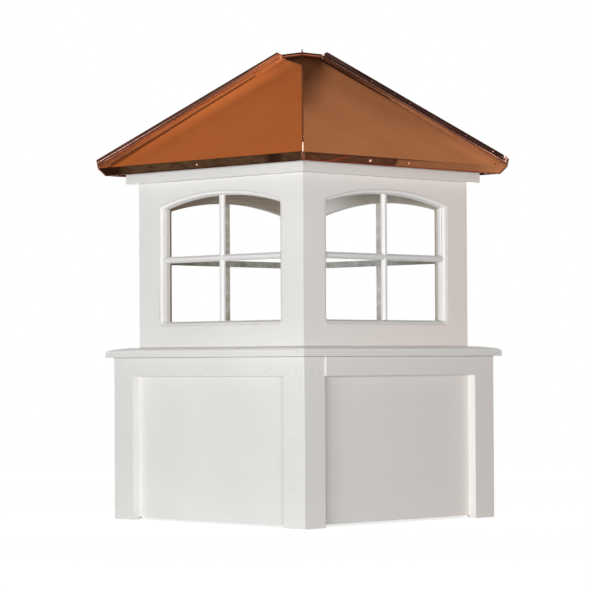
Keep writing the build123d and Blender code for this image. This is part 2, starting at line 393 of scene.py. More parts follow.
def copper_sheet():
    """Rolled sheet of the roof panels: grain and rolling lines, painted sheen and reflections, painted
    shade in creases, and the fascia.

    Frontal panels are painted redder than sideways ones: a painted difference of reflection.
    """
    material, tree = new_material("copper_sheet")
    place = tree.place()
    height = place["Z"]
    near_hips = tree.off_near_hips(place)
    side_hips = tree.off_side_hips(place)
    facing_way = tree.facing_way()
    frontal = tree.rise(tree.absolute(facing_way["Y"]), 0.2, 0.5)
    sideways = tree.minus(1.0, frontal)

    grain = tree.noise(1.0, (24.0, 24.0, 300.0), detail=2.0)
    speckle = tree.noise(190.0, detail=2.0, roughness=0.6)
    clouds = tree.noise(2.6, (1.0, 1.0, 1.6))
    dark = colour(74, 46, 30)
    # Painted reflection: frontal panels redder, sideways ones tanner.
    tint = tree.mix(frontal, colour(172, 112, 73), colour(180, 98, 49))

    # Rolling lines, level on the frontal panels and slanting on the sideways ones.
    lines_per_metre = 73.0
    slant_per_metre = -20.5
    slant = tree.times(near_hips, sideways, slant_per_metre)
    phase = tree.plus(tree.times(height, lines_per_metre), slant)
    wander = tree.times(tree.noise(7.0, detail=2.0), 1.6)
    wave = tree.math("SINE", tree.times(tree.plus(phase, wander), 2 * pi))
    patchy = tree.remap(tree.noise(9.0), 0.3, 0.7, 0.4, 1.0)
    strength = tree.times(patchy, tree.remap(sideways, 0, 1, 0.3, 1.0))
    lines = tree.times(tree.rise(wave, -1.0, 1.0, 0.10), strength)
    tint = tree.mix(lines, tint, dark)
    tint = tree.mix(tree.rise(grain, 0.35, 0.65, 0.08), tint, dark)
    tint = tree.mix(tree.rise(clouds, 0.35, 0.7, 0.08), tint, dark)
    tint = tree.mix(tree.rise(speckle, 0.35, 0.65, 0.16), tint, dark)

    # Painted sheen and a painted darker strip beside the side hips, and a painted light end far from
    # the near hips.
    by_side_hips = tree.fall(side_hips, 0.015, 0.16)
    sheen = tree.times(by_side_hips, tree.remap(height, 1.2, 1.45, 0.3, 0.95))
    tint = tree.mix(tree.times(sheen, frontal), tint, colour(244, 144, 80))
    sheen = tree.times(by_side_hips, tree.remap(height, 1.22, 1.31, 0.8, 0.2))
    tint = tree.mix(tree.times(sheen, sideways), tint, colour(226, 150, 100))
    band = tree.rise(side_hips, 0.04, 0.13, 0.24)
    band = tree.times(band, tree.remap(side_hips, 0.16, 0.34, 1.0, 0.2), tree.rise(height, 1.28, 1.36))
    tint = tree.mix(tree.times(band, sideways), tint, dark)
    far_end = tree.times(tree.rise(near_hips, 0.55, 0.95, 0.25), sideways)
    tint = tree.mix(far_end, tint, colour(192, 128, 86))

    # Painted dark reflection at the apex and beside the near hips, and painted shade under the cap.
    beside = tree.times(tree.fall(near_hips, 0.02, 0.10, 0.5), tree.rise(height, 1.325, 1.39))
    apex = tree.plus(tree.rise(height, 1.38, 1.55, 0.84), beside)
    apex = tree.times(apex, tree.remap(near_hips, 0.09, 0.15, 1.0, 0.2), sideways)
    frontal_apex = tree.plus(tree.rise(height, 1.38, 1.50, 0.13), tree.rise(height, 1.50, 1.56, 0.3))
    painted_dark_reflection = tree.math("ADD", apex, tree.times(frontal_apex, frontal), clamp=True)
    tint = tree.mix(painted_dark_reflection, tint, colour(54, 28, 19))
    under_cap = tree.minus(height, tree.times(near_hips, 0.39))
    shade = tree.times(tree.rise(under_cap, 1.528, 1.532, 0.96), frontal)
    tint = tree.mix(shade, tint, colour(32, 26, 22))

    # Painted shade beyond an apron's free edge, with a painted highlight on a ridge at the top of the
    # frontal ones.
    outward = tree.larger(tree.absolute(place["X"]), tree.absolute(place["Y"]))
    spread = tree.remap(frontal, 0.0, 1.0, NARROW_APRON, WIDE_APRON)
    apron = tree.times(spread, tree.plus(outward, APRON_START))
    beyond = tree.minus(side_hips, apron)
    sideways_width = tree.remap(outward, 0.09, 0.26, 25 * MM, 7 * MM)
    frontal_width = tree.remap(outward, 0.27, 0.37, 9 * MM, 20 * MM)
    full = tree.remap(frontal, 0.0, 1.0, sideways_width, frontal_width)
    soft = tree.remap(outward, 0.40, 0.46, 5 * MM, 25 * MM)
    crease_shade = tree.fall(beyond, full, tree.plus(full, soft))
    frontal_crease = tree.times(frontal, tree.rise(outward, 0.11, 0.17, 0.7))
    sideways_crease = tree.times(sideways, tree.fall(outward, 0.16, 0.33, 0.9))
    shown = tree.times(crease_shade, tree.plus(frontal_crease, sideways_crease))
    tint = tree.mix(shown, tint, tree.mix(frontal, colour(60, 32, 24), colour(96, 44, 24)))
    ridge = tree.times(frontal, tree.fall(outward, 0.10, 0.13, 0.8))
    tint = tree.mix(tree.times(crease_shade, ridge), tint, colour(244, 158, 100))
    # Painted shade along the fold at the eave of the frontal panels.
    fold = tree.fall(height, EAVE_HEIGHT + 1 * MM, EAVE_HEIGHT + 2.5 * MM, 0.9)
    tint = tree.mix(tree.times(frontal, fold), tint, colour(50, 29, 21))

    # The fascia: a painted dark reflection, patchy, with plain bright far ends and a painted red
    # highlight on the sideways ones; their top and every fascia's foot are painted darker still.
    fascia = tree.rise(facing_way["Z"], -0.1, -0.2)
    down = tree.rise(height, EAVE_HEIGHT, FASCIA_FOOT)
    reach = tree.plus(near_hips, tree.times(tree.math("POWER", down, 3.0), 0.022))
    bright_end = tree.times(tree.rise(reach, 0.434, 0.446), sideways)
    blotches = tree.noise(1.0, (26.0, 26.0, 110.0), roughness=0.6)
    patches = tree.rise(blotches, 0.35, 0.68)
    frontal_dark = tree.mix(patches, colour(66, 47, 34), colour(94, 71, 52))
    stretch = tree.times(tree.rise(near_hips, 0.085, 0.105, 0.8), tree.fall(near_hips, 0.15, 0.18))
    stretch = tree.larger(stretch, tree.rise(near_hips, 0.82, 0.89, 0.95))
    stretch = tree.larger(stretch, tree.fall(near_hips, 0.05, 0.085, 0.25))
    frontal_dark = tree.mix(stretch, frontal_dark, colour(34, 19, 14))
    side_dark = tree.mix(patches, colour(74, 43, 31), colour(100, 64, 46))
    side_bright = tree.mix(0.26, tint, dark)
    painted_red_highlight = tree.minus(tree.times(tree.minus(near_hips, 0.125), 8.0), tree.minus(0.85, down))
    painted_red_highlight = tree.fall(tree.absolute(painted_red_highlight), 0.04, 0.14, 0.75)
    painted_red_highlight = tree.times(painted_red_highlight, tree.fall(near_hips, 0.19, 0.22))
    side_dark = tree.mix(painted_red_highlight, side_dark, colour(150, 62, 38))
    side_tint = tree.mix(bright_end, side_dark, side_bright)
    rim = tree.times(tree.fall(down, 0.14, 0.24, 0.6), tree.fall(near_hips, 0.5, 0.72))
    side_tint = tree.mix(rim, side_tint, colour(70, 40, 28))
    fascia_tint = tree.mix(frontal, side_tint, frontal_dark)
    foot = tree.mix(frontal, colour(122, 50, 34), colour(62, 34, 24))
    fascia_tint = tree.mix(tree.rise(down, 0.84, 0.92, 0.85), fascia_tint, foot)
    tint = tree.mix(fascia, tint, fascia_tint)
    # Painted shade on the faces that look down.
    underside = tree.rise(facing_way["Z"], -0.85, -0.95, 0.9)
    tint = tree.mix(underside, tint, colour(44, 26, 20))

    gloss = tree.remap(clouds, 0.3, 0.7, 0.32, 0.41)
    roughness = tree.plus(gloss, tree.times(by_side_hips, 0.2))
    copper_surface(tree, tint, roughness, grain)
    return material


def copper_seam():
    """Folded sheet of the hip seams: a streaked dark cap, a plain web, cut ends with a painted
    highlight.

    The web's faces look along the hips' other plane and the cut ends look out along their own, so the
    signs of the place and of the normal tell them apart. The painted reflections differ from hip to
    hip: the front left seam is painted brighter higher up, with painted glints along its fold lower
    down; the back right one is painted the darkest, with painted shadow at the cap's foot and painted
    glints on its crinkled ends; the other two are painted lighter below the apex.
    """
    material, tree = new_material("copper_seam")
    place = tree.place()
    facing_way = tree.facing_way()
    total = tree.plus(place["X"], place["Y"])
    spread = tree.minus(place["X"], place["Y"])
    reaches = [tree.absolute(way) for way in (total, spread)]
    outward = tree.times(tree.larger(reaches[0], reaches[1]), 0.5)
    hip_height = tree.minus(EAVE_HEIGHT + EAVE_HALF * RISE, tree.times(outward, RISE))
    over_hip = tree.minus(place["Z"], hip_height)
    hip_sign = tree.math("SIGN", tree.times(place["X"], place["Y"]))
    face_sign = tree.math("SIGN", tree.times(facing_way["X"], facing_way["Y"]))
    along_hip = tree.times(hip_sign, face_sign)
    steep = tree.absolute(facing_way["Z"])
    web = tree.times(tree.below(steep, 0.03), tree.below(along_hip, -0.5))
    cut_end = tree.times(tree.below(steep, 0.3), tree.above(along_hip, 0.5))
    on_left = tree.below(total, -SEAM_SIDE)
    on_right = tree.above(total, SEAM_SIDE)
    on_near = tree.below(reaches[0], SEAM_SIDE)
    up_hip = tree.rise(place["Z"], EAVE_HEIGHT, CAP_TOP)

    along_cap = tree.combine(tree.times(outward, 16.0), tree.times(over_hip, 330.0), hip_sign)
    streaks = tree.noise(1.0, roughness=0.6, vector=along_cap)
    sparkle = tree.noise(330.0, detail=2.0, roughness=0.7)
    tint = tree.mix(tree.rise(streaks, 0.38, 0.62), colour(26, 15, 12), colour(74, 46, 36))
    # Painted reflection: the front left cap is brighter higher up, with a painted shade streak along it
    # and a dark line along its top.
    wear_and_painted_light = tree.mix(tree.rise(streaks, 0.4, 0.6), colour(104, 62, 44), colour(156, 90, 54))
    wear_and_painted_light = tree.mix(tree.fall(over_hip, 13 * MM, 19 * MM, 0.7), wear_and_painted_light, colour(180, 104, 60))
    ridge = tree.fall(tree.absolute(tree.minus(over_hip, 20 * MM)), 6 * MM, 8 * MM, 0.95)
    ridge = tree.times(ridge, tree.remap(up_hip, 0.75, 0.92, 1.0, 0.15))
    wear_and_painted_light = tree.mix(ridge, wear_and_painted_light, colour(88, 57, 45))
    top_line = tree.rise(over_hip, 25.5 * MM, 27.0 * MM)
    wear_and_painted_light = tree.mix(top_line, wear_and_painted_light, colour(38, 19, 14))
    painted_light_left = tree.times(tree.rise(up_hip, 0.42, 0.72), on_left)
    tint = tree.mix(painted_light_left, tint, wear_and_painted_light)
    # Painted dark reflection: the back right cap is darker.
    tint = tree.mix(tree.times(on_right, 0.45), tint, colour(20, 12, 11))
    # The back right cap is greyer and bluer towards the apex.
    bluish = tree.times(tree.rise(up_hip, 0.78, 0.95, 0.5), on_right)
    bluish_grey_tone = tree.mix(tree.rise(streaks, 0.42, 0.6), colour(34, 20, 16), colour(70, 49, 42))
    tint = tree.mix(bluish, tint, bluish_grey_tone)
    # Painted shadow along the foot of the back right cap.
    foot = tree.times(on_right, tree.fall(over_hip, 14.5 * MM, 16.0 * MM, 0.85))
    tint = tree.mix(foot, tint, colour(16, 7, 5))

    # Painted glints along the fold: low on the front left seam, near the eave on the back right one.
    fold = tree.fall(tree.absolute(tree.minus(over_hip, 20.5 * MM)), 0.5 * MM, 1.8 * MM)
    glints = tree.remap(sparkle, 0.42, 0.6, 0.15, 1.0)
    low_left = tree.times(tree.fall(up_hip, 0.2, 0.6, 0.95), on_left)
    low_right = tree.times(tree.remap(up_hip, 0.04, 0.10, 0.8, 0.04), on_right)
    shown = tree.times(fold, glints, tree.plus(low_left, low_right))
    tint = tree.mix(shown, tint, colour(224, 176, 158))
    # Painted glints on the crinkled ends of the back right seam, at the eave and the apex.
    eave_tip = tree.rise(outward, EAVE_HALF - 10 * MM, EAVE_HALF - 8 * MM)
    apex_tip = tree.fall(outward, SEAM_TOP + 6 * MM, SEAM_TOP + 8 * MM)
    tip = tree.times(tree.larger(eave_tip, apex_tip), on_right)
    creases = tree.noise(170.0, detail=1.0)
    crumpled_glints = tree.mix(tree.rise(creases, 0.48, 0.54), colour(78, 40, 32), colour(232, 190, 178))
    tint = tree.mix(tip, tint, crumpled_glints)

    # Painted dark reflection on the crowns; the near seams are painted lighter below the apex.
    crown = tree.above(facing_way["Z"], 0.6)
    tint = tree.mix(crown, tint, colour(50, 29, 22))
    painted_light_near = tree.times(on_near, tree.fall(up_hip, 0.78, 0.88, 0.6))
    tint = tree.mix(painted_light_near, tint, colour(128, 78, 46))
    # Painted reflections in the webs' tones: orange on the front left seam, dark on the back right one.
    web_tone = tree.mix(on_left, colour(150, 88, 58), colour(196, 114, 74))
    web_tone = tree.mix(on_right, web_tone, colour(64, 36, 27))
    web_tint = tree.mix(tree.rise(streaks, 0.35, 0.65, 0.3), web_tone, colour(96, 56, 38))
    tint = tree.mix(web, tint, web_tint)
    # A painted highlight on the middle of the cut ends.
    off_plane = tree.math("MINIMUM", reaches[0], reaches[1])
    middle = tree.remap(off_plane, 1.2 * MM, 1.8 * MM, 1.0, 0.15)
    tint = tree.mix(tree.times(cut_end, middle), tint, colour(222, 184, 170))
    gloss = tree.remap(streaks, 0.3, 0.7, 0.26, 0.36)
    roughness = tree.plus(gloss, tree.times(web, 0.36))
    copper_surface(tree, tint, roughness, streaks)
    return material


def copper_cap():
    """The square cap: a plain top, a dark rim, a painted highlight in a bright band under it and a
    browner skirt.
    """
    material, tree = new_material("copper_cap")
    height = tree.place()["Z"]
    grain = tree.noise(1.0, (40.0, 40.0, 120.0), roughness=0.6)
    tint = tree.mix(tree.rise(grain, 0.3, 0.7), colour(96, 50, 34), colour(78, 40, 27))
    # Painted highlight: the bright band under the rim.
    band = tree.rise(height, CAP_TOP - 10.0 * MM, CAP_TOP - 8.6 * MM, 0.9)
    tint = tree.mix(band, tint, colour(176, 104, 76))
    rim = tree.rise(height, CAP_TOP - 5.4 * MM, CAP_TOP - 4.6 * MM, 0.96)
    tint = tree.mix(rim, tint, colour(34, 18, 14))
    top = tree.above(tree.facing_way()["Z"], 0.6)
    tint = tree.mix(top, tint, colour(168, 98, 56))
    copper_surface(tree, tint, tree.remap(grain, 0.3, 0.7, 0.5, 0.62), grain)
    return material


def copper_piece(name, tone, wear_and_painted_light, rough):
    """Copper of a small piece, going from one tone to another in patches of wear."""
    material, tree = new_material(name)
    wear = tree.noise(90.0, roughness=0.6)
    tint = tree.mix(tree.rise(wear, 0.4, 0.62), tone, wear_and_painted_light)
    copper_surface(tree, tint, tree.remap(wear, 0.3, 0.7, rough - 0.05, rough + 0.05), wear)
    return material


def copper_apron(name, left, right=None):
    """Copper beside a seam, its tone changing with height as a painted reflection: (tone at the eave,
    tone higher up, and the two heights between them).

    A second set of the same four values is for the seams on the right.
    """
    material, tree = new_material(name)
    place = tree.place()
    tints = []
    for low_tone, high_tone, start, stop in (left, right or left):
        # Painted reflection: the tone changes with height up the seam.
        climb = tree.rise(place["Z"], EAVE_HEIGHT + start, EAVE_HEIGHT + stop)
        tints.append(tree.mix(climb, low_tone, high_tone))
    on_right = tree.above(tree.plus(place["X"], place["Y"]), 0.0)
    tint = tree.mix(on_right, *tints)
    wear = tree.noise(60.0, (1.0, 1.0, 2.0), roughness=0.6)
    tint = tree.mix(tree.rise(wear, 0.4, 0.65, 0.25), tint, colour(90, 50, 32))
    copper_surface(tree, tint, tree.remap(wear, 0.3, 0.7, 0.38, 0.46), wear)
    return material


def dusty_coat(name, clean, grimy, scale=60.0, detail=3.0, gloss=(0.75, 0.95)):
    """Filler or paint with dust and grime in patches."""
    material, tree = new_material(name)
    dust = tree.noise(scale, detail=detail)
    tint = tree.mix(tree.rise(dust, 0.35, 0.7), clean, grimy)
    tree.surface({"Base Color": tint, "Roughness": tree.remap(dust, 0.3, 0.7, *gloss)})
    return material


VINYL = white_vinyl()
GRILLE = grille_board()
PLYWOOD = plywood()
COPPER_SHEET = copper_sheet()
COPPER_SEAM = copper_seam()
COPPER_CAP = copper_cap()
# The hems and aprons change tone with height up the seams: painted reflections.
COPPER_HEM = copper_apron(
    "copper_hem",
    (colour(180, 124, 102), colour(164, 97, 65), 0.03, 0.10),
    (colour(226, 170, 158), colour(126, 94, 87), 0.05, 0.09),
)
COPPER_WIDE_APRON = copper_apron(
    "copper_wide_apron",
    (colour(148, 86, 55), colour(186, 105, 60), 0.045, 0.115),
)
COPPER_NARROW_APRON = copper_apron(
    "copper_narrow_apron",
    (colour(160, 102, 69), colour(72, 40, 29), 0.20, 0.31),
)
COPPER_DARK = copper_piece("copper_dark", colour(70, 39, 25), colour(84, 48, 30), 0.6)
COPPER_TAB = copper_piece("copper_tab", colour(142, 94, 74), colour(86, 56, 44), 0.38)
COPPER_RIVET = copper_piece("copper_rivet", colour(226, 172, 150), colour(168, 108, 84), 0.3)
# Grey filler that stands in as painted shade in the vinyl's grooves and joints, and a darker grey as
# painted shadow under the ledges.
SHADE_FILLER = dusty_coat("shade_filler", colour(206, 200, 194), colour(184, 175, 168))
LEDGE_SHADOW_GREY = dusty_coat("ledge_shadow_grey", colour(150, 143, 137), colour(122, 115, 109))
SCREW_PAINT = dusty_coat(
    "painted_screw", colour(220, 218, 214), colour(190, 187, 181), 900.0, 2.0, (0.35, 0.6)
)

# The finish of the nodes whose names start so; the rest are white vinyl.
FINISHES = {
    "roof_panel": COPPER_SHEET,
    "hip_seam": COPPER_SEAM,
    "roof_cap": COPPER_CAP,
    "roof_deck": PLYWOOD,
    "window_lining": PLYWOOD,
    "muntins": GRILLE,
}

for name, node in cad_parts.items():
    finishes = [finish for stem, finish in FINISHES.items() if name.startswith(stem)]
    node.data.materials.clear()
    node.data.materials.append(finishes[0] if finishes else VINYL)


# -------------------- fastenings

SCREW_RADIUS = 2.9 * MM
SCREW_RISE = 0.7 * MM
SCREW_RECESS = 1.2 * MM
RIVET_RADIUS = 2.6 * MM
RIVET_RISE = 1.3 * MM
RIVET_HOLE = 1.0 * MM
HEAD_SUNK = 0.2 * MM

# Where the screws stand on a side of the base: (across, up), in metres.
FRONTAL_SCREWS = (
    (-0.436, 0.048), (-0.394, 0.286), (-0.288, 0.521), (-0.238, 0.501), (0.003, 0.511),
    (0.281, 0.500), (0.309, 0.513), (0.354, 0.484), (0.386, 0.497), (0.422, 0.506),
    (0.398, 0.284), (0.434, 0.281), (0.388, 0.125), (0.437, 0.049),
)
SIDEWAYS_SCREWS = (
    (-0.420, 0.497), (-0.384, 0.493), (-0.297, 0.531), (-0.005, 0.511), (0.282, 0.502),
    (0.312, 0.533), (0.430, 0.481), (0.420, 0.288),
)

# The screws of the ledge and frieze boards: (the board's box, in from its end, up from its foot).
TRIM_SCREWS = (
    (ledge_low, ledge_high, 28 * MM, 12 * MM),
    (frieze_low, frieze_high, 14 * MM, 22 * MM),
)

# How far from the axis the rivets of a seam stand, in metres.
SEAM_RIVETS = (0.229, 0.305, 0.359, 0.443, 0.548, 0.640)

# The rivets of a fascia: (across, size), the size as a multiple of a seam rivet's.
FRONTAL_RIVETS = ((-7 * MM, 1.7),)
SIDEWAYS_RIVETS = ((-175 * MM, 2.4), (8 * MM, 1.7))


def skin(mesh, pairs):
    """Adds four-sided faces between the rings of each pair."""
    for lower, upper in pairs:
        for step in range(len(lower)):
            after = (step + 1) % len(lower)
            mesh.faces.new((lower[step], lower[after], upper[after], upper[step]))


def lathe(mesh, place, profile, segments=14):
    """Adds a turned shape to a mesh; the profile is (radius, height) from the rim to the middle."""
    rings = []
    for radius, height in profile:
        ring = []
        for step in range(segments):
            angle = 2 * pi * step / segments
            point = Vector((radius * cos(angle), radius * sin(angle), height))
            ring.append(mesh.verts.new(place @ point))
        rings.append(ring)
    skin(mesh, zip(rings, rings[1:]))
    mesh.faces.new(rings[-1])
    mesh.faces.new(list(reversed(rings[0])))


def screw_head(mesh, place):
    """A low domed head with a round drive recess, its rim at the face that it holds."""
    profile = [
        (SCREW_RADIUS, -HEAD_SUNK),
        (SCREW_RADIUS, 0.15 * MM),
        (0.8 * SCREW_RADIUS, 0.7 * SCREW_RISE),
        (SCREW_RECESS, SCREW_RISE),
        (0.9 * SCREW_RECESS, -0.1 * MM),
    ]
    lathe(mesh, place, profile)


def rivet_head(mesh, place, size=1.0):
    """A domed blind rivet with its mandrel hole."""
    place = place @ Matrix.Scale(size, 4)
    profile = [
        (RIVET_RADIUS, -HEAD_SUNK),
        (RIVET_RADIUS, 0.2 * MM),
        (0.85 * RIVET_RADIUS, 0.7 * RIVET_RISE),
        (0.5 * RIVET_RADIUS, RIVET_RISE),
        (RIVET_HOLE, RIVET_RISE),
        (0.9 * RIVET_HOLE, 0.2 * MM),
    ]
    lathe(mesh, place, profile)


def turned(turn):
    """The turn about the upright axis that takes the front side to another side."""
    return Matrix.Rotation(turn * pi / 2, 4, "Z")


def facing(point, normal):
    """A placement at a point, its Z axis along a normal."""
    aim = Vector(normal).to_track_quat("Z", "Y").to_matrix().to_4x4()
    return Matrix.Translation(point) @ aim


def finish_piece(name, mesh, material, smooth=True):
    """Makes an object of a mesh, gives it its finish and lets it ride on the cupola."""
    bmesh.ops.recalc_face_normals(mesh, faces=mesh.faces)
    data = bpy.data.meshes.new(name)
    mesh.to_mesh(data)
    mesh.free()
    data.materials.append(material)
    for polygon in data.polygons:
        polygon.use_smooth = smooth
    piece = bpy.data.objects.new(name, data)
    bpy.context.scene.collection.objects.link(piece)
    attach(piece, "root")
    return piece


def base_screws():
    """The screws of the base's posts and rails; the sides that face front and back have more."""
    mesh = bmesh.new()
    for turn in range(4):
        for across, up in FRONTAL_SCREWS if turn % 2 == 0 else SIDEWAYS_SCREWS:
            place = facing((across, post_low.y, up), (0, -1, 0))
            screw_head(mesh, turned(turn) @ place)
    finish_piece("base_screws", mesh, SCREW_PAINT)


def trim_screws():
    """A screw near each end of every ledge board and frieze board."""
    mesh = bmesh.new()
    for turn in range(4):
        for side in (-1, 1):
            for low, high, inward, up in TRIM_SCREWS:
                point = (side * (high.x - inward), low.y, low.z + up)
                screw_head(mesh, turned(turn) @ facing(point, (0, -1, 0)))
    finish_piece("trim_screws", mesh, SCREW_PAINT)


# -------------------- copper details


def tube(mesh, points, radius, segments=6, closed=False):
    """Adds a round bar along points; an open one is capped at both ends."""
    count = len(points)
    rings = []
    for index, point in enumerate(points):
        before = points[(index - 1) % count] if closed or index > 0 else point
        after = points[(index + 1) % count] if closed or index < count - 1 else point
        aim = (after - before).to_track_quat("Z", "Y").to_matrix()
        ring = []
        for step in range(segments):
            angle = 2 * pi * step / segments
            way = Vector((radius * cos(angle), radius * sin(angle), 0))
            ring.append(mesh.verts.new(point + aim @ way))
        rings.append(ring)
    pairs = list(zip(rings, rings[1:]))
    if closed:
        pairs.append((rings[-1], rings[0]))
    else:
        mesh.faces.new(list(reversed(rings[0])))
        mesh.faces.new(rings[-1])
    skin(mesh, pairs)


def hip_point(along, aside, above):
    """A point by the front right hip: up it from the eave, to its right side and square above it."""
    corner = Vector((EAVE_HALF, -EAVE_HALF, EAVE_HEIGHT))
    up_hip = Vector((-cos(HIP_LEAN), cos(HIP_LEAN), sin(HIP_LEAN) * sqrt(2))) / sqrt(2)
    right = Vector((1, 1, 0)) / sqrt(2)
    square = Vector((sin(HIP_LEAN), -sin(HIP_LEAN), cos(HIP_LEAN) * sqrt(2))) / sqrt(2)
    return corner + along * up_hip + aside * right + above * square


def up_from_eave(outward):
    """How far up a hip from the eave it is at a distance from the axis."""
    return (EAVE_HALF - outward) * sqrt(2) / cos(HIP_LEAN)


def hem_rods():
    """The bright rolled hem along both lower edges of the two side seams' caps, a little uneven."""
    draw = random.Random(7)
    mesh = bmesh.new()
    steps = 15
    start = 5 * MM
    length = up_from_eave(cap_high.x) - 8 * MM
    radius = 1.1 * MM
    for turn in (1, 3):
        for side in (-1, 1):
            points = []
            for step in range(steps + 1):
                along = start + step / steps * length
                aside = side * (0.5 * SEAM_CAP_FOOT + draw.uniform(0.1, 0.4) * MM)
                above = SEAM_WEB_HEIGHT + draw.uniform(-0.4, 0.0) * MM
                points.append(turned(turn) @ hip_point(along, aside, above))
            tube(mesh, points, radius)
    finish_piece("seam_hems", mesh, COPPER_HEM)


def seam_rivets():
    """Blind rivets through every seam's cap, unevenly spaced up the hip."""
    mesh = bmesh.new()
    above = SEAM_WEB_HEIGHT + 0.5 * SEAM_CAP_HEIGHT
    half = 0.25 * (SEAM_CAP_FOOT + SEAM_CAP_CROWN)
    lean = 0.5 * (SEAM_CAP_FOOT - SEAM_CAP_CROWN) / SEAM_CAP_HEIGHT
    for turn in range(4):
        for reach in SEAM_RIVETS:
            along = (EAVE_HALF * sqrt(2) - reach) / cos(HIP_LEAN)
            for side in (-1, 1):
                point = hip_point(along, side * half, above)
                outer = hip_point(along, side * (half + 1), above + lean)
                rivet_head(mesh, turned(turn) @ facing(point, outer - point))
    finish_piece("seam_rivets", mesh, COPPER_HEM)


def fascia_point(across, down, proud=0.0):
    """A point on the front fascia: across, a share of the way down, and proud of its face."""
    length = sqrt(FASCIA_TUCK**2 + FASCIA_HEIGHT**2)
    outward = Vector((0, -FASCIA_HEIGHT, -FASCIA_TUCK)) / length
    point = Vector((across, -EAVE_HALF + down * FASCIA_TUCK, EAVE_HEIGHT - down * FASCIA_HEIGHT))
    return point + proud * outward


def fascia_rivets():
    """A rivet in the middle of every fascia, and one more on the two that face sideways."""
    mesh = bmesh.new()
    for turn in range(4):
        for across, size in FRONTAL_RIVETS if turn % 2 == 0 else SIDEWAYS_RIVETS:
            point = fascia_point(across, 0.5)
            outward = fascia_point(across, 0.5, 1.0) - point
            rivet_head(mesh, turned(turn) @ facing(point, outward), size)
    finish_piece("fascia_rivets", mesh, COPPER_RIVET)


def panel_screws():
    """The large screw at the lower right end of each panel that faces sideways."""
    mesh = bmesh.new()
    from_end = 55 * MM
    from_eave = 8 * MM
    size = 1.5
    upward = Vector((0, -sin(ROOF_PITCH), cos(ROOF_PITCH)))
    point = Vector((EAVE_HALF - from_end, -EAVE_HALF + from_eave, EAVE_HEIGHT + from_eave * RISE))
    for turn in (1, 3):
        screw_head(mesh, turned(turn) @ facing(point, upward) @ Matrix.Scale(size, 4))
    finish_piece("panel_screws", mesh, COPPER_DARK)


def corner_tabs():
    """A folded tab over the mitre of the fascias at every corner."""
    mesh = bmesh.new()
    width = 8 * MM
    proud = 0.8 * MM
    for turn in range(4):
        grid = []
        for down in (0.04, 0.5, 0.97):
            outward = EAVE_HALF - down * FASCIA_TUCK
            height = EAVE_HEIGHT - down * FASCIA_HEIGHT
            row = []
            for lift in (0.0, proud):
                edge = outward + lift
                row.append(Vector((outward - width, -edge, height)))
                row.append(Vector((edge, -edge, height)))
                row.append(Vector((edge, -outward + width, height)))
            grid.append([mesh.verts.new(turned(turn) @ point) for point in row])
        for upper, lower in zip(grid, grid[1:]):
            for first, second in ((0, 1), (1, 2), (2, 5), (5, 4), (4, 3), (3, 0)):
                mesh.faces.new((upper[first], upper[second], lower[second], lower[first]))
        for row in (grid[0], grid[-1]):
            mesh.faces.new((row[0], row[1], row[4], row[3]))
            mesh.faces.new((row[1], row[2], row[5], row[4]))
    finish_piece("corner_tabs", mesh, COPPER_TAB, smooth=False)


def apron_edge(outward, side, spread):
    """Where an apron by the front right hip meets the panel, at a distance from the axis."""
    width = APRON_START * spread + spread * outward
    height = EAVE_HEIGHT + (EAVE_HALF - outward) * RISE
    if side > 0:
        return Vector((outward, width - outward, height))
    return Vector((outward - width, -outward, height))


def hip_aprons(name, side, spread, under_hem, material):
    """A bent apron from under a seam's cap to the panel on one side, widening towards the eave."""
    mesh = bmesh.new()
    steps = 14
    start = cap_high.x + 6 * MM
    length = EAVE_HALF - cap_high.x - 7 * MM
    aside = side * 1.7 * MM
    lift = Vector((0, 0, 0.3 * MM))
    for turn in (1, 3):
        rows = []
        for step in range(steps + 1):
            outward = start + step / steps * length
            along = up_from_eave(outward)
            edge = apron_edge(outward, side, spread)
            top = hip_point(along, aside, SEAM_WEB_HEIGHT - under_hem)
            root = hip_point(along, aside, 0.1 * MM)
            corners = (root, edge, edge + lift, top)
            rows.append([mesh.verts.new(turned(turn) @ point) for point in corners])
        skin(mesh, zip(rows, rows[1:]))
        mesh.faces.new(rows[0])
        mesh.faces.new(list(reversed(rows[-1])))
    finish_piece(name, mesh, material, smooth=False)


def apron_shadow_lines():
    """A dark line of painted shadow along the free edge of each apron, where it is dark."""
    mesh = bmesh.new()
    lift = Vector((0, 0, 0.4 * MM))
    radius = 1.3 * MM
    for turn in (1, 3):
        for side, spread, first, last in APRON_SHADOW_LINES:
            points = []
            for reach in (first, 0.5 * (first + last), last):
                edge = apron_edge(reach * EAVE_HALF, side, spread)
                points.append(turned(turn) @ (edge + lift))
            tube(mesh, points, radius)
    finish_piece("apron_shadow_lines", mesh, COPPER_DARK)


# -------------------- joints and grooves of the vinyl


